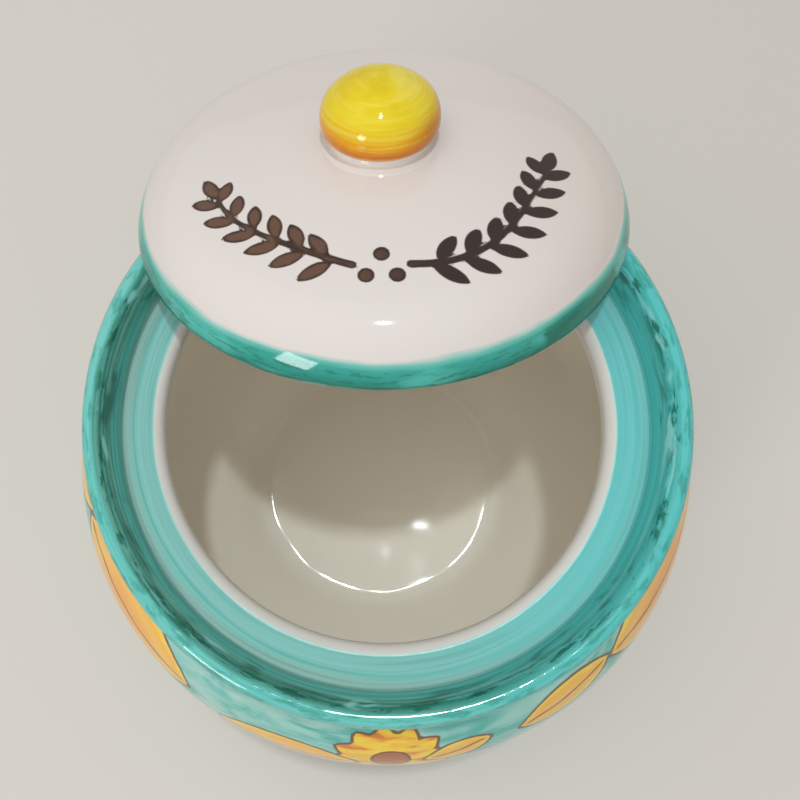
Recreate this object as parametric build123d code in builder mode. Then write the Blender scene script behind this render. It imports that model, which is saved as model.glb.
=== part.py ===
from build123d import *
import math
import os

# A lidded earthenware biscuit jar: a round-bellied body with a rolled lip and a sunk gallery,
# a domed drop-in lid, and a bun-shaped knob luted to the lid's crown.
# The lid is modelled as it is propped: leaning backwards on the lip at the rear of the mouth.
# Millimetres. The origin is the centre of the flat base, +Z is up and +Y points to the rear.

# ---- Driving dimensions: body ----
body_height = 172.0  # base to the top of the lip
base_radius = 60.0  # flat base that the jar stands on
foot_height = 5.0  # upright edge of the base
belly_radius = 109.5  # widest part of the outside
belly_height = 98.5  # its height above the base
neck_inset = 6.0  # outside, where the shoulder meets the lip: this far in from the lip
neck_drop = 17.0  # from the top of the lip down to the neck
lip_spread = 9.8  # from the gallery's corner out to the outside of the rolled lip
lip_roll = 3.2  # radius of the lip's rounding
lip_arc = 135.0  # degrees that the rounding turns through, from outside to inside
wall = 5.5  # thickness of the thrown wall at the belly
floor_thickness = 8.5
floor_radius = 50.0  # flat part of the inside floor
floor_bend_radius = 60.0  # where the inside's foot curve has turned up into the wall
floor_bend_height = 6.5  # rise of that curve above the floor
foot_slope = 0.55  # rise for each millimetre outwards, where the wall leaves the foot
neck_lean = 0.55  # millimetres inwards for each one up, where the shoulder meets the neck
lip_lean = 0.35  # millimetres outwards for each one up, where the lip leaves the neck

# ---- Driving dimensions: gallery and mouth ----
gallery_depth = 12.6  # from the top of the lip down to the seat's outer corner
gallery_lean = 0.25  # millimetres inwards for each one down, where its wall meets the seat
gallery_fall = 0.3  # the seat slopes down this much towards the mouth
seat_width = 12.7  # from the gallery's corner in to the mouth
mouth_band = 7.5  # height of the mouth's upright inner face
mouth_rounding = 2.2
ledge_reach = 18.5  # from the mouth out to where the ledge's underside turns down
ledge_depth = 36.0  # that place's distance below the top of the lip
ledge_slope = 0.15  # fall for each millimetre outwards, where the underside leaves the mouth

# ---- Driving dimensions: lid ----
lid_radius = 77.1
lid_clearance = 3.1  # between the seated lid's edge and the gallery's wall
lid_wall = 6.5
lid_edge = 1.8  # width of the edge that sits on the gallery
lid_bevel = 4.2  # height of the bevel inside that edge
lid_height = 24.6  # edge plane to the crown, were it not flattened for the knob
shoulder_inset = 18.1  # from the edge in to where the crown's shallow dome ends
shoulder_height = 18.0  # its height above the edge plane
lid_edge_rounding = 0.6

# ---- Driving dimensions: knob ----
knob_radius = 17.7
knob_foot_radius = 17.4
knob_foot_edge = 0.4  # upright edge of the knob's foot
knob_waist_radius = 14.2
knob_waist_height = 2.8
knob_flare = 0.5  # rise for each millimetre outwards, where the bun leaves the waist
knob_equator_height = 7.9
knob_crown = 13.7  # height of the knob above its widest circle

# ---- How the lid is propped on the lip ----
lid_tilt = 25.8  # degrees, rear edge down
lid_overhang = 18.9  # from the centre of the lid's edge back to the lip's crest
lean_turn = 2.6  # degrees, the lid leans this far to the left of straight back
edge_gap = 0.7  # least clearance of the lid's edge, where it crosses the lip at both sides
rear_gap = 1.5  # least clearance of the crown's underside, over the lip's rear crest

# ---- Radii and heights worked out from those ----
gallery_radius = lid_radius + lid_clearance
mouth_radius = gallery_radius - seat_width
rim_radius = gallery_radius + lip_spread
crest_radius = rim_radius - lip_roll
neck_radius = rim_radius - neck_inset
ledge_radius = mouth_radius + ledge_reach
rim_height = body_height - lip_roll
gallery_height = body_height - gallery_depth
mouth_top = gallery_height - gallery_fall
mouth_bottom = mouth_top - mouth_band
neck_height = body_height - neck_drop
ledge_height = body_height - ledge_depth
inner_belly_radius = belly_radius - wall
close = 0.01  # corners are looked for within this distance

# ---- Body ----
with BuildPart() as jar_body:
    with BuildSketch(Plane.XZ) as jar_profile:
        with BuildLine() as jar_outline:
            base_line = Line((0, 0), (base_radius, 0))
            foot_line = Line(base_line @ 1, (base_radius, foot_height))
            lower_wall = Spline(
                foot_line @ 1,
                (belly_radius, belly_height),
                tangents=[(1.0, foot_slope), (0, 1)],
            )
            upper_wall = Spline(
                lower_wall @ 1,
                (neck_radius, neck_height),
                tangents=[(0, 1), (-neck_lean, 1.0)],
            )
            flare = Spline(
                upper_wall @ 1,
                (rim_radius, rim_height),
                tangents=[(lip_lean, 1.0), (0, 1)],
            )
            crest = CenterArc((crest_radius, rim_height), lip_roll, 0, lip_arc)
            gallery_wall = Spline(
                crest @ 1,
                (gallery_radius, gallery_height),
                tangents=[crest % 1, (-gallery_lean, -1.0)],
            )
            seat = Line(gallery_wall @ 1, (mouth_radius, mouth_top))
            mouth_face = Line(seat @ 1, (mouth_radius, mouth_bottom))
            ledge_underside = Spline(
                mouth_face @ 1,
                (ledge_radius, ledge_height),
                (inner_belly_radius, belly_height),
                tangents=[(1.0, -ledge_slope), (0, -1)],
            )
            inner_wall = Spline(
                ledge_underside @ 1,
                (floor_bend_radius, floor_thickness + floor_bend_height),
                (floor_radius, floor_thickness),
                tangents=[(0, -1), (-1, 0)],
            )
            floor_line = Line(inner_wall @ 1, (0, floor_thickness))
            axis_line = Line(floor_line @ 1, (0, 0))
        make_face()
        mouth_corners = (
            jar_profile.vertices()
            .filter_by_position(Axis.X, mouth_radius - close, mouth_radius + close)
            .filter_by_position(Axis.Y, mouth_bottom - close, mouth_top + close)
        )
        fillet(mouth_corners, mouth_rounding)
    revolve(axis=Axis.Z)

# ---- Where the lid rests ----
# The lid comes down until its edge is on the lip at both sides, or the underside of its crown
# is on the lip's rear crest.
tilt = math.radians(lid_tilt)
turn = math.radians(lean_turn)
back = Vector(-math.sin(turn), math.cos(turn), 0)
across = Vector(math.cos(turn), math.sin(turn), 0)
up = Vector(0, 0, 1)

lid_back = crest_radius - lid_overhang
lid_up = back * math.sin(tilt) + up * math.cos(tilt)

# The lid's edge is taken as a ring with a round section, and so is the lip's crest. Each rise
# holds the two rings apart at one place.
ring_radius = lid_radius - lid_edge / 2
ring_centre = back * lid_back + lid_up * (lid_edge / 2)
reach = lip_roll + lid_edge / 2 + edge_gap
rises = []
for step in range(720):
    angle = math.radians(step / 2)
    way = across * math.cos(angle) + lid_up.cross(across) * math.sin(angle)
    place = ring_centre + way * ring_radius
    past_crest = math.hypot(place.X, place.Y) - crest_radius
    if abs(past_crest) < reach:
        rises.append(rim_height + math.sqrt(reach**2 - past_crest**2) - place.Z)

# The underside of the crown is part of a sphere, and the lip's rear crest stands inside it.
shoulder_reach = lid_radius - shoulder_inset
shoulder_drop = lid_height - shoulder_height
dome_radius = (shoulder_reach**2 + shoulder_drop**2) / (2 * shoulder_drop)
centre_below_edge = dome_radius - lid_height
sphere_back = lid_back - centre_below_edge * math.sin(tilt)
sphere_reach = dome_radius - lid_wall - lip_roll - rear_gap
sphere_drop = math.sqrt(sphere_reach**2 - (crest_radius - sphere_back) ** 2)
rises.append(rim_height - sphere_drop + centre_below_edge * math.cos(tilt))

lid_rise = max(rises)
lid_origin = back * lid_back + up * lid_rise
lid_axis = Axis(lid_origin, lid_up)
# The lid's profile plane: X is the radius and Y the height above the lid's edge.
lid_plane = Plane(origin=lid_origin, x_dir=across, z_dir=across.cross(lid_up))

# ---- Lid ----
knob_seat = lid_height - dome_radius + math.sqrt(dome_radius**2 - knob_foot_radius**2)
seat_plane = Plane(origin=lid_origin + lid_up * knob_seat, x_dir=across, z_dir=lid_up)
knob_plane = Plane(origin=seat_plane.origin, x_dir=across, z_dir=lid_plane.z_dir)

with BuildPart() as lid:
    with BuildSketch(lid_plane) as lid_profile:
        with BuildLine() as lid_outline:
            crown = TangentArc(
                (0, lid_height), (shoulder_reach, shoulder_height), tangent=(1, 0)
            )
            shoulder = TangentArc(crown @ 1, (lid_radius, 0), tangent=crown % 1)
            edge_line = Line(shoulder @ 1, (lid_radius - lid_edge, 0))
            bevel = Line(edge_line @ 1, (lid_radius - lid_wall, lid_bevel))
            inward = Vector((crown % 1).Y, -(crown % 1).X) * lid_wall
            inner_crown = TangentArc(
                (0, lid_height - lid_wall), (crown @ 1) + inward, tangent=(1, 0)
            )
            inner_shoulder = TangentArc(
                inner_crown @ 1, bevel @ 1, tangent=inner_crown % 1
            )
            lid_axis_line = Line((0, lid_height - lid_wall), (0, lid_height))
        make_face()
        edge_corners = lid_profile.vertices().filter_by_position(Axis.Y, -close, close)
        fillet(edge_corners, lid_edge_rounding)
    revolve(axis=lid_axis)
    split(bisect_by=seat_plane, keep=Keep.BOTTOM)

# ---- Knob ----
# The top follows a half ellipse: halfway round, both of its half axes are scaled by diagonal.
diagonal = math.sqrt(0.5)

with BuildPart() as lid_knob:
    with BuildSketch(knob_plane) as knob_profile:
        with BuildLine() as knob_outline:
            foot = Line((0, 0), (knob_foot_radius, 0))
            foot_side = Line(foot @ 1, (knob_foot_radius, knob_foot_edge))
            waist = Bezier(
                foot_side @ 1,
                (knob_waist_radius, knob_foot_edge),
                (knob_waist_radius, knob_waist_height),
            )
            bun_side = Spline(
                waist @ 1,
                (knob_radius, knob_equator_height),
                tangents=[(1.0, knob_flare), (0, 1)],
            )
            bun_top = Spline(
                bun_side @ 1,
                (knob_radius * diagonal, knob_equator_height + knob_crown * diagonal),
                (0, knob_equator_height + knob_crown),
                tangents=[(0, 1), (-1, 0)],
            )
            knob_axis_line = Line(bun_top @ 1, (0, 0))
        make_face()
    revolve(axis=lid_axis)

# ---- Export ----
os.makedirs("parts", exist_ok=True)
jar_body.part.label = "jar_body"
export_step(jar_body.part, "parts/jar_body.step")
lid.part.label = "lid"
export_step(lid.part, "parts/lid.step")
lid_knob.part.label = "lid_knob"
export_step(lid_knob.part, "parts/lid_knob.step")
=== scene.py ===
import math

import bpy
import numpy as np
from mathutils import Matrix, Vector


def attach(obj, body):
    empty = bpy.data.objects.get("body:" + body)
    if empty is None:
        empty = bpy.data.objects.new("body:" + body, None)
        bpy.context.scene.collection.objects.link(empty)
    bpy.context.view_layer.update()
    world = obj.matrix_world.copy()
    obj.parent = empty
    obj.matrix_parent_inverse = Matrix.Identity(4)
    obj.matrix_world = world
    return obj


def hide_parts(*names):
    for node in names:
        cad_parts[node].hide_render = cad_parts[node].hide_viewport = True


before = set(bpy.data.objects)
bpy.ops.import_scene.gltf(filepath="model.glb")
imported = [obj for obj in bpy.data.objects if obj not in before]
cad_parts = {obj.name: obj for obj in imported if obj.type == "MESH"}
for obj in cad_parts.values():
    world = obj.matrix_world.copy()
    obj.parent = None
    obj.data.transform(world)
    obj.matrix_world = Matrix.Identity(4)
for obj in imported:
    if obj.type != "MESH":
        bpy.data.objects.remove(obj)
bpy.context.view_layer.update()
scene = bpy.context.scene
scene.view_settings.view_transform = "Standard"

# Everything is in metres. The jar stands on z = 0, +Y is to the rear and +X to the right.
MM = 0.001
CM = 10 * MM

# ---- Places in the CAD frame ----
LID_TILT = math.radians(25.8)  # rear edge down
LID_TURN = math.radians(2.6)  # the lid leans this far to the left of straight back
LID_BACK = 0.0679  # from the jar's axis back to the centre of the lid's edge
LID_RISE = 0.163523768  # its height

UP = Vector((0, 0, 1))
BACK = Vector((-math.sin(LID_TURN), math.cos(LID_TURN), 0))
LID_ACROSS = Vector((math.cos(LID_TURN), math.sin(LID_TURN), 0))
LID_UP = BACK * math.sin(LID_TILT) + UP * math.cos(LID_TILT)
LID_ORIGIN = BACK * LID_BACK + UP * LID_RISE


def turned_frame(origin, across, up):
    """The matrix from a turned piece's own axes (across, depth, up) to the row's."""
    matrix = Matrix((across, up.cross(across), up)).transposed().to_4x4()
    matrix.translation = origin
    return matrix


JAR_FRAME = Matrix.Identity(4)
LID_FRAME = turned_frame(LID_ORIGIN, LID_ACROSS, LID_UP)

# ---- Turned pieces ----
SAME_PLACE = 2e-6  # points of a seam nearer than this are one point
OFF_AXIS = 1e-5  # an end of a seam farther out than this isn't on the axis
CORNER = math.radians(33)  # a sharper turn than this in an outline is a real corner
STRAIGHT = 15 * MM  # a longer leg than this is a straight line, and the others are on curves


def seam_outline(node, place):
    """The line that a turned CAD node was revolved from, as (radius, height) rows.

    A flat disc has no seam, so its centre is added where an end of the line is off the axis."""
    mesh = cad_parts[node].data
    inverse = place.inverted()
    local = np.array([inverse @ v.co for v in mesh.vertices])
    on_seam = (np.abs(local[:, 1]) < SAME_PLACE) & (local[:, 0] > -SAME_PLACE / 2)
    points, merged, first = [], {}, {}
    for index in np.flatnonzero(on_seam):
        row = local[index, [0, 2]]
        key = tuple(np.round(row / SAME_PLACE).astype(int))
        if key not in first:
            first[key] = len(points)
            points.append(row)
        merged[int(index)] = first[key]
    links = {i: set() for i in range(len(points))}
    for edge in mesh.edges:
        a, b = (merged.get(v) for v in edge.vertices)
        if a is not None and b is not None and a != b:
            links[a].add(b)
            links[b].add(a)
    ends = [i for i in links if len(links[i]) == 1]
    here = max(ends, key=lambda i: points[i][0])
    order, before = [here], None
    while True:
        onward = [i for i in links[here] if i != before and i not in order]
        if not onward:
            break
        before, here = here, onward[0]
        order.append(here)
    line = [points[i] for i in order]
    if line[0][0] > OFF_AXIS:
        line.insert(0, np.array([0.0, line[0][1]]))
    if line[-1][0] > OFF_AXIS:
        line.append(np.array([0.0, line[-1][1]]))
    return np.array(line)


def distance_along(line):
    """How far along the line each of its rows is."""
    return np.concatenate([[0], np.cumsum(np.hypot(*np.diff(line, axis=0).T))])


def smooth_line(line, step):
    """The outline again, with points about step apart on smooth curves between its corners.

    Also gives the rows that the corners are in."""
    legs = np.diff(line, axis=0)
    lengths = np.hypot(*legs.T)
    headings = legs / lengths[:, None]
    turns = np.arccos(np.clip((headings[1:] * headings[:-1]).sum(1), -1, 1))
    corners = [0] + [i + 1 for i in np.flatnonzero(turns > CORNER)] + [len(line) - 1]
    rows, sharp = [line[:1]], []
    for start, end in zip(corners[:-1], corners[1:]):
        part = line[start : end + 1]
        along = np.concatenate([[0], np.cumsum(lengths[start:end])])
        if len(part) > 2:
            slopes = np.gradient(part, along, axis=0, edge_order=2)
        else:
            slopes = np.repeat((part[1:] - part[:-1]) / along[-1], 2, axis=0)
        for flat in np.flatnonzero(lengths[start:end] > STRAIGHT):
            slopes[flat] = slopes[flat + 1] = headings[start + flat]
        count = max(2, round(along[-1] / step))
        wanted = np.linspace(0, along[-1], count + 1)[1:]
        leg = np.clip(np.searchsorted(along, wanted) - 1, 0, len(part) - 2)
        span = along[leg + 1] - along[leg]
        t = ((wanted - along[leg]) / span)[:, None]
        span = span[:, None]
        rows.append(
            (2 * t**3 - 3 * t**2 + 1) * part[leg]
            + (t**3 - 2 * t**2 + t) * span * slopes[leg]
            + (3 * t**2 - 2 * t**3) * part[leg + 1]
            + (t**3 - t**2) * span * slopes[leg + 1]
        )
        sharp.append(sum(map(len, rows)) - 1)
    return np.concatenate(rows), sharp[:-1]


def turned_mesh(name, line, sharp, segments, place, body):
    """A solid turned from an outline that starts and ends on the axis.

    Light breaks at the rows of the outline that sharp names, and flows over the others.
    Also gives each vertex's place on the piece's own axes, how far along the outline it is, and
    its angle round the axis."""
    rings = line[1:-1]
    angles = np.arange(segments) * 2 * math.pi / segments
    radius, height = np.repeat(rings[:, :1], segments, 1), np.repeat(rings[:, 1:], segments, 1)
    x, y = radius * np.cos(angles), radius * np.sin(angles)
    vertices = np.stack([x, y, height], 2).reshape(-1, 3)
    vertices = np.concatenate([vertices, [[0, 0, line[0][1]], [0, 0, line[-1][1]]]])
    first_pole, last_pole = len(vertices) - 2, len(vertices) - 1
    at = np.arange(segments)
    onward = (at + 1) % segments
    faces = [[first_pole, b, a] for a, b in zip(at, onward)]
    for ring in range(len(rings) - 1):
        low, high = ring * segments, (ring + 1) * segments
        faces += [[low + a, low + b, high + b, high + a] for a, b in zip(at, onward)]
    top = (len(rings) - 1) * segments
    faces += [[last_pole, top + a, top + b] for a, b in zip(at, onward)]
    placed = vertices @ np.array(place.to_3x3()).T + np.array(place.translation)
    mesh = bpy.data.meshes.new(name)
    mesh.from_pydata(placed.tolist(), [], faces)
    mesh.shade_smooth()
    mesh.update()
    ends = np.zeros(2 * len(mesh.edges), int)
    mesh.edges.foreach_get("vertices", ends)
    rows = ends.reshape(-1, 2) // segments + 1  # the first row of the line is a pole
    broken = (rows[:, 0] == rows[:, 1]) & np.isin(rows[:, 0], sharp)
    mesh.attributes.new("sharp_edge", "BOOLEAN", "EDGE").data.foreach_set("value", broken)
    piece = bpy.data.objects.new(name, mesh)
    scene.collection.objects.link(piece)
    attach(piece, body)
    along = distance_along(line)
    run = np.concatenate([np.repeat(along[1:-1], segments), [along[0], along[-1]]])
    turn = np.concatenate([np.tile(angles, len(rings)), [0, 0]])
    return piece, vertices, run, turn


def around(turn):
    """Places on a circle of radius 1. Noise that follows them has no seam."""
    return np.stack([np.cos(turn), np.sin(turn)], 1)


def store(piece, name, values):
    """Keeps a number, or a vector, for each vertex, for the piece's material to read."""
    kind = "FLOAT" if np.ndim(values) == 1 else "FLOAT_VECTOR"
    attribute = piece.data.attributes.new(name, kind, "POINT")
    field = "value" if kind == "FLOAT" else "vector"
    attribute.data.foreach_set(field, np.asarray(values, np.float32).ravel())


# ---- Brush strokes, as signed distances in millimetres: negative inside the paint ----
FAR = 99.0  # no paint near


def tapered(points, a, b, width_a, width_b):
    """Distance to one dab of the brush from a to b."""
    a, b = np.asarray(a, float), np.asarray(b, float)
    leg = b - a
    share = np.clip(((points - a) @ leg) / (leg @ leg), 0, 1)
    gap = np.hypot(*(points - a - share[:, None] * leg).T)
    return gap - (width_a + (width_b - width_a) * share) / 2


def stroke(points, path, widths):
    """Distance to a brush stroke through several points."""
    dabs = zip(path[:-1], path[1:], widths[:-1], widths[1:])
    return np.min([tapered(points, *dab) for dab in dabs], axis=0)


def leaf(points, base, tip, width):
    """Distance to a pointed leaf: the part that two equal circles share."""
    base, tip = np.asarray(base, float), np.asarray(tip, float)
    half = np.hypot(*(tip - base)) / 2
    forward = (tip - base) / (2 * half)
    middle = points - (base + tip) / 2
    along = np.abs(middle @ forward)
    aside = np.abs(middle @ np.array([-forward[1], forward[0]]))
    radius = (half**2 + (width / 2) ** 2) / width
    offset = radius - width / 2
    beyond = (along - half) * offset > half * aside
    return np.where(
        beyond,
        np.hypot(along - half, aside),
        np.hypot(along, aside + offset) - radius,
    )


def beside(points, base, tip, width):
    """Distance from a leaf's middle line, which its vein follows: negative on the other side."""
    forward = np.asarray(tip, float) - base
    return (points - base) @ np.array([-forward[1], forward[0]]) / np.hypot(*forward)


def polar(radius, degrees):
    return np.array([math.cos(math.radians(degrees)), math.sin(math.radians(degrees))]) * radius


# ---- Materials ----
GLOSS = 0.06  # roughness of the glazes


def rgb(red, green, blue):
    """A colour given in display values from 0 to 255."""
    return tuple(
        c / 12.92 if c <= 0.04045 else ((c + 0.055) / 1.055) ** 2.4
        for c in (red / 255, green / 255, blue / 255)
    ) + (1.0,)


# The glazes' colours.
WHITE_GLAZE = rgb(212, 204, 201)
RING_WHITE = rgb(196, 192, 186)
INSIDE_GLAZE = rgb(247, 240, 227)
GREY_TURQUOISE = rgb(136, 177, 170)
LIGHT_TURQUOISE = rgb(131, 189, 186)
PALE_TURQUOISE = rgb(106, 184, 177)
MID_TURQUOISE = rgb(72, 172, 164)
GREEN_TURQUOISE = rgb(66, 142, 128)
DEEP_TURQUOISE = rgb(42, 118, 104)
DARK_GREEN = rgb(20, 88, 72)
LIP_GLAZE = rgb(140, 206, 204)
CREST_GLAZE = rgb(92, 182, 176)
BARE_CLAY = rgb(196, 152, 118)
UMBER = rgb(88, 50, 26)
PEACH = rgb(238, 184, 80)
ORANGE = rgb(234, 160, 48)
AMBER = rgb(238, 178, 44)
YELLOW = rgb(238, 208, 74)


class Paint:
    """A material whose nodes are added one call at a time."""

    def __init__(self, name, roughness):
        self.material = bpy.data.materials.new(name)
        self.material.use_nodes = True
        self.tree = self.material.node_tree
        self.shader = self.tree.nodes["Principled BSDF"]
        self.shader.inputs["Roughness"].default_value = roughness

    def feed(self, socket, value):
        if isinstance(value, bpy.types.NodeSocket):
            self.tree.links.new(value, socket)
        else:
            socket.default_value = value

    def read(self, name, vector=False):
        """A value that store() kept."""
        node = self.tree.nodes.new("ShaderNodeAttribute")
        node.attribute_name = name
        return node.outputs["Vector" if vector else "Fac"]

    def noise(self, vector, scale, detail, roughness=0.5, distortion=0.0):
        """Noise from 0 to 1. A larger scale along one of vector's axes gives shorter marks."""
        scaled = self.tree.nodes.new("ShaderNodeVectorMath")
        scaled.operation = "MULTIPLY"
        self.feed(scaled.inputs[0], vector)
        scaled.inputs[1].default_value = scale
        node = self.tree.nodes.new("ShaderNodeTexNoise")
        self.feed(node.inputs["Vector"], scaled.outputs[0])
        for name, value in (
            ("Scale", 1.0),
            ("Detail", detail),
            ("Roughness", roughness),
            ("Distortion", distortion),
        ):
            node.inputs[name].default_value = value
        return node.outputs["Fac"]

    def math(self, operation, a, b=0.0):
        node = self.tree.nodes.new("ShaderNodeMath")
        node.operation = operation
        self.feed(node.inputs[0], a)
        self.feed(node.inputs[1], b)
        return node.outputs[0]

    def times(self, a, b):
        return self.math("MULTIPLY", a, b)

    def wobble(self, value, noise, amount):
        """value moved by up to half of amount either way."""
        return self.math("ADD", value, self.times(self.math("SUBTRACT", noise, 0.5), amount))

    def fade(self, value, start, end):
        """0 at start and 1 at end, with a soft step between them."""
        node = self.tree.nodes.new("ShaderNodeMapRange")
        node.interpolation_type = "SMOOTHSTEP"
        self.feed(node.inputs["Value"], value)
        low, high, flip = (start, end, False) if start < end else (end, start, True)
        node.inputs["From Min"].default_value = low
        node.inputs["From Max"].default_value = high
        node.inputs["To Min"].default_value = 1.0 if flip else 0.0
        node.inputs["To Max"].default_value = 0.0 if flip else 1.0
        return node.outputs["Result"]

    def zone(self, value, start, full, thinner, end):
        """1 from full to thinner, and 0 before start and after end."""
        return self.times(self.fade(value, start, full), self.fade(value, end, thinner))

    def ramp(self, value, stops, low=0.0, high=1.0):
        """The colour at value, between stops of (value, colour) from low to high."""
        node = self.tree.nodes.new("ShaderNodeValToRGB")
        spread = self.math("DIVIDE", self.math("SUBTRACT", value, low), high - low)
        self.feed(node.inputs[0], spread)
        elements = node.color_ramp.elements
        while len(elements) < len(stops):
            elements.new(0.5)
        for element, (place, colour) in zip(elements, stops):
            element.position = (place - low) / (high - low)
            element.color = colour
        return node.outputs[0]

    def mix(self, share, below, colour):
        """colour laid over below, where share is 0 to 1."""
        node = self.tree.nodes.new("ShaderNodeMix")
        node.data_type = "RGBA"
        self.feed(node.inputs[0], share)
        self.feed(node.inputs[6], below)
        self.feed(node.inputs[7], colour)
        return node.outputs[2]

    def glaze(self, below, colour, share, strength):
        """A thin coat of colour over below: at most strength of it shows, where share is 1."""
        return self.mix(self.times(share, strength), below, colour)

    def outline(self, below, gap, width):
        """A thin brown line of the brush along the edge where gap is nought."""
        line = self.fade(self.math("ABSOLUTE", gap), width, width * 0.4)
        return self.glaze(below, UMBER, line, 0.9)

    def bump(self, height, strength, distance):
        node = self.tree.nodes.new("ShaderNodeBump")
        node.inputs["Strength"].default_value = strength
        node.inputs["Distance"].default_value = distance
        self.feed(node.inputs["Height"], height)
        self.feed(self.shader.inputs["Normal"], node.outputs[0])

    def rough(self, value):
        self.feed(self.shader.inputs["Roughness"], value)

    def finish(self, colour):
        self.feed(self.shader.inputs["Base Color"], colour)
        return self.material


# ---- Jar ----
JAR_STEP = 1.9 * MM
WIDE_SEGMENTS = 320  # round the jar and the lid
OUTSIDE_RUN = -8  # mm, the painting is drawn farther out than this
MIDDLE = 60 * MM  # nearer to the axis than this, the brush's marks close up and leave no spokes

jar_line, jar_sharp = smooth_line(seam_outline("jar_body", JAR_FRAME), JAR_STEP)
jar, jar_points, jar_run, jar_turn = turned_mesh(
    "jar_glazed", jar_line, jar_sharp, WIDE_SEGMENTS, JAR_FRAME, "jar"
)
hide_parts("jar_body")

# The jar's run is counted in millimetres from the top of the lip: inwards is positive.
crest_run = distance_along(jar_line)[np.argmax(jar_line[:, 1])]
jar_mm = (jar_run - crest_run) / MM
jar_ring = around(jar_turn)
store(jar, "side", jar_ring[:, 0])
jar_ring *= np.minimum(1.0, np.hypot(*jar_points[:, :2].T) / MIDDLE)[:, None]
store(jar, "run", jar_mm)
store(jar, "height", jar_points[:, 2] / MM)
store(jar, "brush", np.column_stack([jar_ring, jar_mm * MM / CM]))

# ---- Belly painting, unrolled: across is round the belly and up is the height, in mm ----
BELLY = 109.5  # the radius that the painting is drawn at
REPEATS = 3
FIRST_FLOWER = -86  # degrees round the jar
FLOWER_HEIGHT = 122.0
LOW_FLOWER = (4, -40)  # from the middle between two flowers
REPEAT_WIDTH = 2 * math.pi * BELLY / REPEATS
PETALS = 12
# The petals' inner and outer ends, their width and the first one's degrees, and the heart.
FLOWER_PETALS, FLOWER_HEART = (3, 21, 10, 8), 6.5
LOW_PETALS, LOW_HEART = (4, 25, 12, 0), 7.5


def belly_plan(points, shift):
    """Places on one repeat of the belly's painting, counted from shift repeats on."""
    angle = np.arctan2(points[:, 1], points[:, 0]) - math.radians(FIRST_FLOWER)
    share = (angle / (2 * math.pi) * REPEATS - shift + 0.5) % 1.0 - 0.5
    return np.column_stack([share * REPEAT_WIDTH, points[:, 2] / MM - FLOWER_HEIGHT])


def flower(plan, inner, outer, width, turn):
    """Distance to a ring of pointed petals, the first of them at turn degrees."""
    angles = [turn + number * 360 / PETALS for number in range(PETALS)]
    return np.min([leaf(plan, polar(inner, a), polar(outer, a), width) for a in angles], axis=0)


at_flower = belly_plan(jar_points, 0.0)
between = belly_plan(jar_points, 0.5)
low_flower = between - LOW_FLOWER
petals = np.minimum(flower(at_flower, *FLOWER_PETALS), flower(low_flower, *LOW_PETALS))
heart = np.minimum(np.hypot(*at_flower.T) - FLOWER_HEART, np.hypot(*low_flower.T) - LOW_HEART)
LEAVES = (  # plan, base, tip and width
    (at_flower, (-10, -6), (-62, -7), 22),
    (at_flower, (11, -3), (35, 6), 13),
    (between, (41, 0), (-31, 6), 34),
    (at_flower, (44, 2), (84, 8), 17),
    (at_flower, (-4, -22), (-34, -66), 26),
    (at_flower, (6, -22), (40, -62), 26),
    (low_flower, (-28, 2), (-66, 16), 20),
    (low_flower, (27, -2), (58, 10), 19),
    (low_flower, (-14, -26), (-46, -44), 17),
    (low_flower, (16, -24), (50, -42), 17),
)
gaps = np.array([leaf(*shape) for shape in LEAVES])
jar_outside = jar_mm < OUTSIDE_RUN
store(jar, "petals", np.where(jar_outside, petals, FAR))
store(jar, "heart", np.where(jar_outside, heart, FAR))
store(jar, "leaves", np.where(jar_outside, gaps.min(0), FAR))
store(jar, "veins", np.choose(gaps.argmin(0), [beside(*shape) for shape in LEAVES]))

jar_paint = Paint("painted_body_glaze", GLOSS)
run = jar_paint.read("run")
brush = jar_paint.read("brush", vector=True)

# Bands laid on while the jar turned: long streaks, and slow changes from place to place.
streaks = jar_paint.noise(brush, (0.9, 0.9, 9.0), 3.0, 0.55)
patches = jar_paint.noise(brush, (2.6, 2.6, 1.2), 2.0)
mottle = jar_paint.noise(brush, (11.0, 11.0, 5.0), 3.0, 0.6)
uneven_run = jar_paint.wobble(jar_paint.wobble(run, patches, 3.0), streaks, 2.4)
ring_colour = jar_paint.ramp(
    uneven_run,
    [  # mm from the top of the lip
        (-20, LIGHT_TURQUOISE),
        (-13, MID_TURQUOISE),
        (-7, LIP_GLAZE),
        (-4, PALE_TURQUOISE),
        (-1.2, CREST_GLAZE),
        (0.2, CREST_GLAZE),
        # From 1 to 13 mm, on the lip's inner wall, the darker green is partly the glaze's own
        # colour and partly painted shade under the lip.
        (1.0, GREEN_TURQUOISE),
        (2.8, DEEP_TURQUOISE),
        (6.5, GREEN_TURQUOISE),
        (10.5, MID_TURQUOISE),
        (12.6, GREEN_TURQUOISE),
        (14.4, GREY_TURQUOISE),
        (16.8, GREY_TURQUOISE),
        (18.2, PALE_TURQUOISE),
        (19.8, LIGHT_TURQUOISE),
        (24.2, rgb(113, 179, 173)),
    ],
    -24.0,
    40.0,
)
thinner = jar_paint.fade(streaks, 0.45, 0.62)
ring_colour = jar_paint.glaze(ring_colour, rgb(138, 202, 194), thinner, 0.32)
thicker = jar_paint.fade(streaks, 0.5, 0.36)
ring_colour = jar_paint.glaze(ring_colour, GREEN_TURQUOISE, thicker, 0.28)
# The brush was fuller on the right-hand side, and the right is also painted lighter: painted light
# on the side that faces the light.
fuller_and_lit_right = jar_paint.fade(jar_paint.read("side"), 0.0, 0.95)
ring_colour = jar_paint.glaze(ring_colour, rgb(64, 184, 188), fuller_and_lit_right, 0.5)
to_white = jar_paint.wobble(jar_paint.wobble(run, streaks, 0.5), patches, 0.9)
colour = jar_paint.mix(jar_paint.fade(to_white, 23.9, 25.1), ring_colour, RING_WHITE)
colour = jar_paint.mix(jar_paint.fade(run, 29.0, 32.0), colour, INSIDE_GLAZE)

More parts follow.
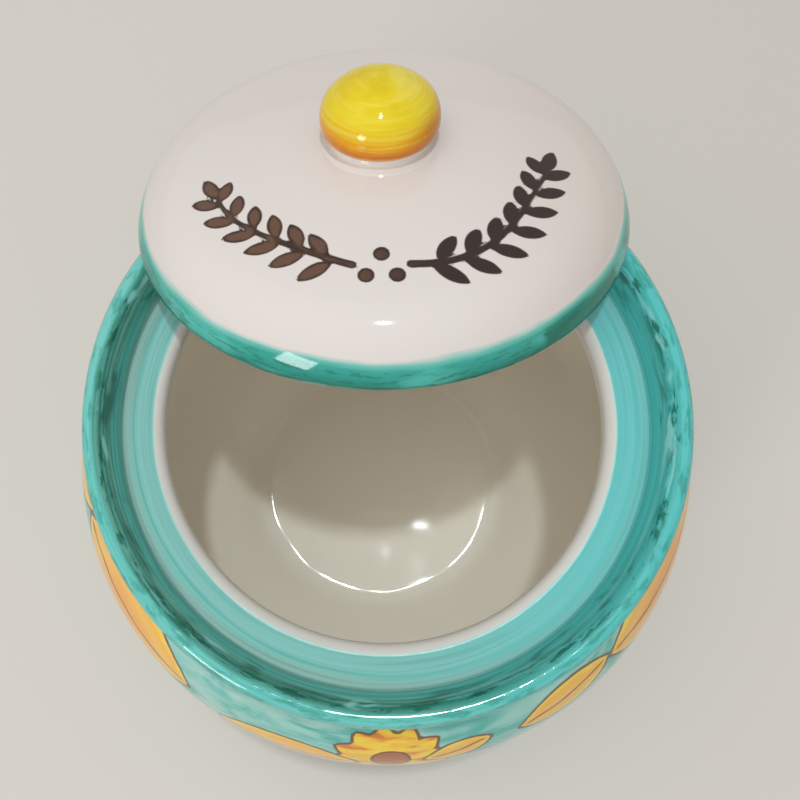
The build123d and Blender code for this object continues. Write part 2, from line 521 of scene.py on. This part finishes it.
# Thick and thin places where the green glaze gathered on the gallery's wall, and specks on the
# wall and the lip.
gather = jar_paint.noise(brush, (5.5, 5.5, 2.4), 2.0, distortion=0.5)
share = jar_paint.times(
    jar_paint.fade(gather, 0.5, 0.68), jar_paint.zone(run, 1.6, 3.6, 8.0, 13.0)
)
colour = jar_paint.glaze(colour, DARK_GREEN, share, 0.68)
speck_zone = jar_paint.times(
    jar_paint.fade(run, 0.9, 1.6), jar_paint.fade(uneven_run, 6.0, 3.4)
)
share = jar_paint.times(jar_paint.fade(mottle, 0.53, 0.59), speck_zone)
colour = jar_paint.glaze(colour, DARK_GREEN, share, 0.8)
share = jar_paint.times(
    jar_paint.fade(gather, 0.42, 0.3), jar_paint.zone(run, 1.4, 2.6, 5.0, 8.0)
)
colour = jar_paint.glaze(colour, LIP_GLAZE, share, 0.7)
share = jar_paint.times(
    jar_paint.fade(mottle, 0.48, 0.64), jar_paint.zone(run, -9.0, -7.0, 0.5, 2.5)
)
colour = jar_paint.glaze(colour, rgb(30, 128, 112), share, 0.55)

# The painting: washes of turquoise, then leaves and flowers with thin brown outlines.
EDGE = (0.3, -0.3)  # mm, paint begins across this much of its distance
LINE_WIDTH = 0.85
wash = jar_paint.noise(brush, (4.0, 4.0, 1.0), 3.0, 0.55, 0.8)
belly_tone = jar_paint.ramp(
    wash, [(0.36, rgb(160, 206, 198)), (0.5, rgb(132, 196, 188)), (0.62, MID_TURQUOISE)]
)
hand = jar_paint.noise(brush, (8.0, 8.0, 1.8), 2.0)
leaf_gap = jar_paint.wobble(jar_paint.read("leaves"), hand, 1.6)
depth = jar_paint.wobble(jar_paint.times(leaf_gap, -1.0), wash, 9.0)
leaf_tone = jar_paint.ramp(
    depth, [(0.5, YELLOW), (3.5, AMBER), (7.5, PEACH), (13.0, ORANGE)], 0.0, 16.0
)
petal_gap = jar_paint.wobble(jar_paint.read("petals"), hand, 1.2)
petal_tone = jar_paint.ramp(
    hand, [(0.38, rgb(212, 118, 20)), (0.46, AMBER), (0.58, rgb(240, 206, 40))]
)
heart_gap = jar_paint.wobble(jar_paint.read("heart"), hand, 1.5)
belly = belly_tone
for gap, paint_tone, width in (
    (petal_gap, petal_tone, LINE_WIDTH),
    (heart_gap, rgb(168, 88, 22), 0.8),
    (leaf_gap, leaf_tone, LINE_WIDTH),
):
    belly = jar_paint.mix(jar_paint.fade(gap, *EDGE), belly, paint_tone)
    belly = jar_paint.outline(belly, gap, width)
vein_gap = jar_paint.wobble(jar_paint.read("veins"), hand, 2.4)
vein = jar_paint.fade(jar_paint.math("ABSOLUTE", vein_gap), 0.8, 0.3)
vein = jar_paint.times(vein, jar_paint.fade(leaf_gap, -1.0, -3.0))
belly = jar_paint.glaze(belly, UMBER, vein, 0.85)
# A turquoise band, a brown line and a yellow band go round above the foot.
BAND_TOP = 20.7  # mm above the base
foot_height = jar_paint.wobble(jar_paint.read("height"), hand, 1.2)
foot_tone = jar_paint.ramp(
    foot_height,
    [  # mm above the base
        (0.8, BARE_CLAY),
        (1.6, BARE_CLAY),
        (2.2, MID_TURQUOISE),
        (12.0, LIGHT_TURQUOISE),
        (13.0, UMBER),
        (13.9, UMBER),
        (14.6, AMBER),
        (20.0, YELLOW),
    ],
    0.0,
    24.0,
)
at_foot = jar_paint.fade(foot_height, BAND_TOP + EDGE[0], BAND_TOP + EDGE[1])
belly = jar_paint.mix(at_foot, belly, foot_tone)
belly = jar_paint.outline(belly, jar_paint.math("SUBTRACT", foot_height, BAND_TOP), 0.7)
on_belly = jar_paint.fade(jar_paint.wobble(run, hand, 1.0), -17.6, -18.4)
colour = jar_paint.mix(on_belly, colour, belly)
# The lid's resting place is wiped, so it and the mouth's edge are dull, and so is the base.
wiped = jar_paint.zone(run, 23.5, 25.0, 30.0, 33.0)
bare = jar_paint.math("MAXIMUM", wiped, jar_paint.fade(jar_paint.read("height"), 1.8, 1.0))
jar_paint.rough(jar_paint.math("ADD", jar_paint.times(bare, 0.42), GLOSS))
# Slow unevenness from throwing and ripples in the glaze, and softer waves on the inside floor.
throwing = jar_paint.noise(brush, (0.6, 0.6, 1.2), 0.0)
ripples = jar_paint.noise(brush, (9.0, 9.0, 0.9), 2.0)
uneven = jar_paint.times(
    jar_paint.wobble(throwing, ripples, 0.7), jar_paint.fade(run, 60.0, 30.0)
)
floor_waves = jar_paint.noise(brush, (3.0, 3.0, 0.0), 0.0)
deep_down = jar_paint.times(jar_paint.fade(run, 80.0, 130.0), 4.0)
floor_waves = jar_paint.times(floor_waves, deep_down)
jar_paint.bump(jar_paint.math("ADD", uneven, floor_waves), 0.3, 0.6 * MM)
jar.data.materials.append(jar_paint.finish(colour))

# ---- Lid ----
LID_STEP = 1.1 * MM
EDGE_OVERLAP = 0.5 * MM  # the outside's paint reaches this far round the lid's edge

lid_line, lid_sharp = smooth_line(seam_outline("lid", LID_FRAME), LID_STEP)
lid, lid_points, lid_run, lid_turn = turned_mesh(
    "lid_glazed", lid_line, lid_sharp, WIDE_SEGMENTS, LID_FRAME, "lid"
)
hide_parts("lid")
lid_plan = lid_points[:, :2] / MM
lid_height = lid_points[:, 2] / MM
# The run goes from the top of the crown over the edge to the hollow's top. The last two are poles.
lid_edge_run = lid_run[:-2][np.argmin(lid_height[:-2])]
lid_outside = lid_run < lid_edge_run + EDGE_OVERLAP
store(lid, "rise", lid_height)
store(lid, "underneath", (~lid_outside).astype(float))
store(lid, "brush", np.column_stack([around(lid_turn), lid_run / CM]))

# ---- Two leafy sprigs, which meet at the front of the crown, in mm ----
SPRIG_RADIUS = 50.0
SPRIG_SWAY = 1.6
STEM_WIDTHS = (2.6, 1.5)  # where it starts and where it ends
STEM_POINTS = 40
LEAF_LENGTH = 12.5
LEAF_WIDTH = 4.6
LAST_LEAF = 11
LEAF_STAGGER = 1.8  # along the stem, between the two leaves of a pair
BERRIES = ((46.0, -90), (53.0, -94.5), (53.0, -85.5))  # radius and degrees
BERRY_RADIUS = 2.4


def sprig(plan, start, end, pairs):
    """Distance to a stem that follows a circle from start to end degrees, and its leaves."""
    angles = np.linspace(start, end, STEM_POINTS)
    sway = SPRIG_SWAY * np.sin(np.radians((angles - start) * 5.0))
    stem = [polar(SPRIG_RADIUS + out, a) for a, out in zip(angles, sway)]
    parts = [stroke(plan, stem, np.linspace(*STEM_WIDTHS, len(stem)))]
    for number in range(pairs):
        share = (number + 0.6) / pairs
        angle = start + (end - start) * share
        out = np.interp(share, (angles - start) / (end - start), sway)
        base = polar(SPRIG_RADIUS + out, angle)
        onward = polar(1, angle + math.copysign(90, end - start))
        for side in (1, -1):
            lean = onward * 0.72 + polar(1, angle) * side * 0.7
            size = LEAF_LENGTH * (1.0 - 0.2 * share) * (1.0 if side > 0 else 0.88)
            parts.append(leaf(plan, base + lean * 0.5, base + lean * size, LEAF_WIDTH))
            base = base + onward * LEAF_STAGGER
    parts.append(leaf(plan, stem[-1], stem[-1] + onward * LAST_LEAF, LEAF_WIDTH))
    return np.min(parts, axis=0)


sprigs = np.minimum(sprig(lid_plan, -99, -156, 6), sprig(lid_plan, -81, -14, 7))
berries = np.min(
    [np.hypot(*(lid_plan - polar(*place)).T) - BERRY_RADIUS for place in BERRIES], axis=0
)
store(lid, "drawn", np.where(lid_outside, np.minimum(sprigs, berries), FAR))
store(lid, "across", lid_plan[:, 0])
store(lid, "turn", np.degrees(np.arctan2(lid_plan[:, 1], lid_plan[:, 0])))

lid_paint = Paint("white_lid_glaze", GLOSS)
brush = lid_paint.read("brush", vector=True)
across = lid_paint.read("across")
streaks = lid_paint.noise(brush, (1.2, 1.2, 9.0), 3.0, 0.55)
patches = lid_paint.noise(brush, (2.4, 2.4, 1.0), 2.0)
mottle = lid_paint.noise(brush, (14.0, 14.0, 9.0), 3.0, 0.6)
rise = lid_paint.wobble(lid_paint.wobble(lid_paint.read("rise"), patches, 4.0), streaks, 1.2)
band = lid_paint.ramp(
    rise,
    [  # mm above the lid's edge
        # At the very edge the band is painted pale: a painted highlight along the lid's edge.
        (0.0, rgb(150, 205, 194)),
        (0.7, DEEP_TURQUOISE),
        (2.4, rgb(32, 138, 126)),
        (5.6, rgb(52, 156, 144)),
        (6.9, rgb(108, 184, 173)),
        (8.2, WHITE_GLAZE),
    ],
    0.0,
    10.0,
)
share = lid_paint.times(lid_paint.fade(patches, 0.46, 0.6), lid_paint.fade(rise, 7.0, 4.5))
band = lid_paint.glaze(band, rgb(98, 200, 188), share, 0.45)
# The brush began its round here, so the band is laid on twice from -55 to -28 degrees.
turn = lid_paint.wobble(lid_paint.read("turn"), mottle, 3.0)
twice = lid_paint.zone(turn, -55.5, -53.5, -29.0, -27.0)
twice = lid_paint.times(twice, lid_paint.fade(rise, 6.8, 4.6))
band = lid_paint.glaze(band, rgb(16, 104, 84), twice, 0.85)
share = lid_paint.times(lid_paint.fade(mottle, 0.5, 0.64), lid_paint.fade(rise, 6.5, 4.0))
band = lid_paint.glaze(band, rgb(20, 104, 86), share, 0.6)
band = lid_paint.mix(lid_paint.read("underneath"), band, WHITE_GLAZE)
# The ink is paler in the middle of a stroke, and darkest on the right-hand side.
grain = lid_paint.noise(brush, (9.0, 9.0, 3.0), 2.0)
ink_gap = lid_paint.wobble(lid_paint.read("drawn"), grain, 0.35)
middle = lid_paint.fade(lid_paint.wobble(ink_gap, grain, 1.6), -0.2, -1.3)
ink = lid_paint.mix(middle, rgb(50, 32, 24), rgb(96, 68, 54))
ink = lid_paint.mix(lid_paint.fade(across, -20.0, 20.0), ink, rgb(46, 31, 28))
# The white glaze is painted a little greyer towards the right-hand edge: painted shade on the side
# away from the light.
painted_shade_right = lid_paint.times(lid_paint.fade(across, 18.0, 66.0), lid_paint.fade(rise, 7.6, 9.5))
band = lid_paint.mix(painted_shade_right, band, rgb(206, 195, 190))
top = lid_paint.mix(lid_paint.fade(ink_gap, 0.2, -0.3), band, ink)
waves = lid_paint.noise(brush, (1.5, 1.5, 1.2), 2.0)
lid_paint.bump(waves, 0.2, 0.5 * MM)
lid.data.materials.append(lid_paint.finish(top))

# ---- Knob ----
KNOB_STEP = 0.7 * MM
KNOB_SEGMENTS = 160
# Glaze fills the corner round the foot, so the foot's thin upright edge is left out.
FOOT_EDGE = 2  # its row in the outline

knob_outline = np.delete(seam_outline("lid_knob", LID_FRAME), FOOT_EDGE, axis=0)
knob_line, knob_sharp = smooth_line(knob_outline, KNOB_STEP)
knob, knob_points, _, knob_turn = turned_mesh(
    "knob_glazed", knob_line, knob_sharp, KNOB_SEGMENTS, LID_FRAME, "lid"
)
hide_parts("lid_knob")
knob_rise = knob_points[:, 2] - knob_points[:, 2].min()
store(knob, "rise", knob_rise / MM)
store(knob, "brush", np.column_stack([around(knob_turn), knob_rise / CM]))
store(knob, "place", knob_points / CM)
store(knob, "side", knob_points[:, 0] / MM)

knob_paint = Paint("yellow_knob_glaze", GLOSS)
brush = knob_paint.read("brush", vector=True)
rise = knob_paint.read("rise")
streaks = knob_paint.noise(brush, (0.7, 0.7, 13.0), 3.0, 0.6)
patches = knob_paint.noise(brush, (1.6, 1.6, 1.5), 2.0)
swirls = knob_paint.noise(knob_paint.read("place", vector=True), (1.0, 1.0, 1.0), 1.0, 0.4, 0.5)
tone = knob_paint.ramp(
    knob_paint.wobble(knob_paint.wobble(rise, streaks, 2.2), patches, 6.0),
    [  # mm above the knob's foot
        (0.0, rgb(214, 124, 8)),
        (4.6, rgb(220, 142, 24)),
        (6.4, rgb(206, 112, 4)),
        (9.0, rgb(222, 152, 6)),
        (12.0, rgb(220, 177, 8)),
        (15.0, rgb(217, 194, 20)),
        (21.0, rgb(215, 191, 6)),
    ],
    0.0,
    24.0,
)
tone = knob_paint.glaze(tone, rgb(232, 208, 84), knob_paint.fade(streaks, 0.46, 0.64), 0.45)
on_top = knob_paint.fade(rise, 15.5, 19.0)
share = knob_paint.times(knob_paint.fade(swirls, 0.48, 0.66), on_top)
tone = knob_paint.glaze(tone, rgb(206, 178, 8), share, 0.6)
share = knob_paint.times(knob_paint.fade(swirls, 0.5, 0.32), on_top)
tone = knob_paint.glaze(tone, rgb(224, 210, 96), share, 0.45)
# Darker orange on the right-hand side, below the top.
share = knob_paint.times(
    knob_paint.fade(knob_paint.read("side"), 6.0, 17.0), knob_paint.fade(rise, 17.0, 10.0)
)
tone = knob_paint.glaze(tone, rgb(190, 108, 2), share, 0.75)
foot_edge = knob_paint.wobble(rise, streaks, 0.4)
# The foot's white is painted lighter than the lid's white glaze: painted light against the shade
# under the bun.
foot_white_painted_lighter = knob_paint.mix(knob_paint.fade(rise, 0.3, 1.6), WHITE_GLAZE, rgb(242, 236, 232))
tone = knob_paint.mix(knob_paint.fade(foot_edge, 4.0, 3.3), tone, foot_white_painted_lighter)
knob_paint.bump(streaks, 0.15, 0.3 * MM)
knob.data.materials.append(knob_paint.finish(tone))

# ---- Floor and light ----
FLOOR_SIDE = 6.0
WORLD_COLOUR = (1.0, 0.965, 0.91, 1)
WORLD_STRENGTH = 0.55
LAMP_AIM = (0, 0, 0.12)

bpy.ops.mesh.primitive_plane_add(size=FLOOR_SIDE, location=(0, 0, 0))
floor = bpy.context.active_object
floor.name = "studio_floor"
ground = Paint("studio_floor", 0.6)
floor.data.materials.append(ground.finish(rgb(204, 199, 194)))

world = bpy.data.worlds.new("studio")
scene.world = world
world.use_nodes = True
background = world.node_tree.nodes["Background"]
background.inputs["Color"].default_value = WORLD_COLOUR
background.inputs["Strength"].default_value = WORLD_STRENGTH


def softbox(name, location, size, power, colour=(1, 1, 1)):
    data = bpy.data.lights.new(name, "AREA")
    data.size = size
    data.energy = power
    data.color = colour
    lamp = bpy.data.objects.new(name, data)
    scene.collection.objects.link(lamp)
    lamp.location = location
    towards = Vector(LAMP_AIM) - Vector(location)
    lamp.rotation_euler = towards.to_track_quat("-Z", "Y").to_euler()
    return lamp


softbox("ceiling_lamp", (0.02, 0.16, 1.5), 0.06, 5.5, (0.86, 1.0, 1.04))
softbox("ceiling", (-0.3, 0.1, 1.7), 1.3, 8.0, (1.0, 0.97, 0.93)).visible_glossy = False
softbox("window", (-0.75, -1.0, 0.8), 0.36, 4.0)

# ---- Camera ----
CAMERA_PLACE = Vector((0.0, -0.0570, 0.4297))
CAMERA_RIGHT = Vector((0.9969, 0.0527, -0.0583))
CAMERA_AHEAD = Vector((-0.0685, 0.2200, -0.9731))
LENS = 40.5
SENSOR_WIDTH = 36.0
SHIFT_ACROSS = 0.1

camera_data = bpy.data.cameras.new("camera")
camera_data.lens = LENS
camera_data.sensor_width = SENSOR_WIDTH
camera_data.shift_x = SHIFT_ACROSS
camera = bpy.data.objects.new("camera", camera_data)
scene.collection.objects.link(camera)
behind = -CAMERA_AHEAD.normalized()
right = (CAMERA_RIGHT - behind * CAMERA_RIGHT.dot(behind)).normalized()
above = behind.cross(right)
facing = Matrix((right, above, behind)).transposed().to_4x4()
camera.matrix_world = Matrix.Translation(CAMERA_PLACE) @ facing
scene.camera = camera
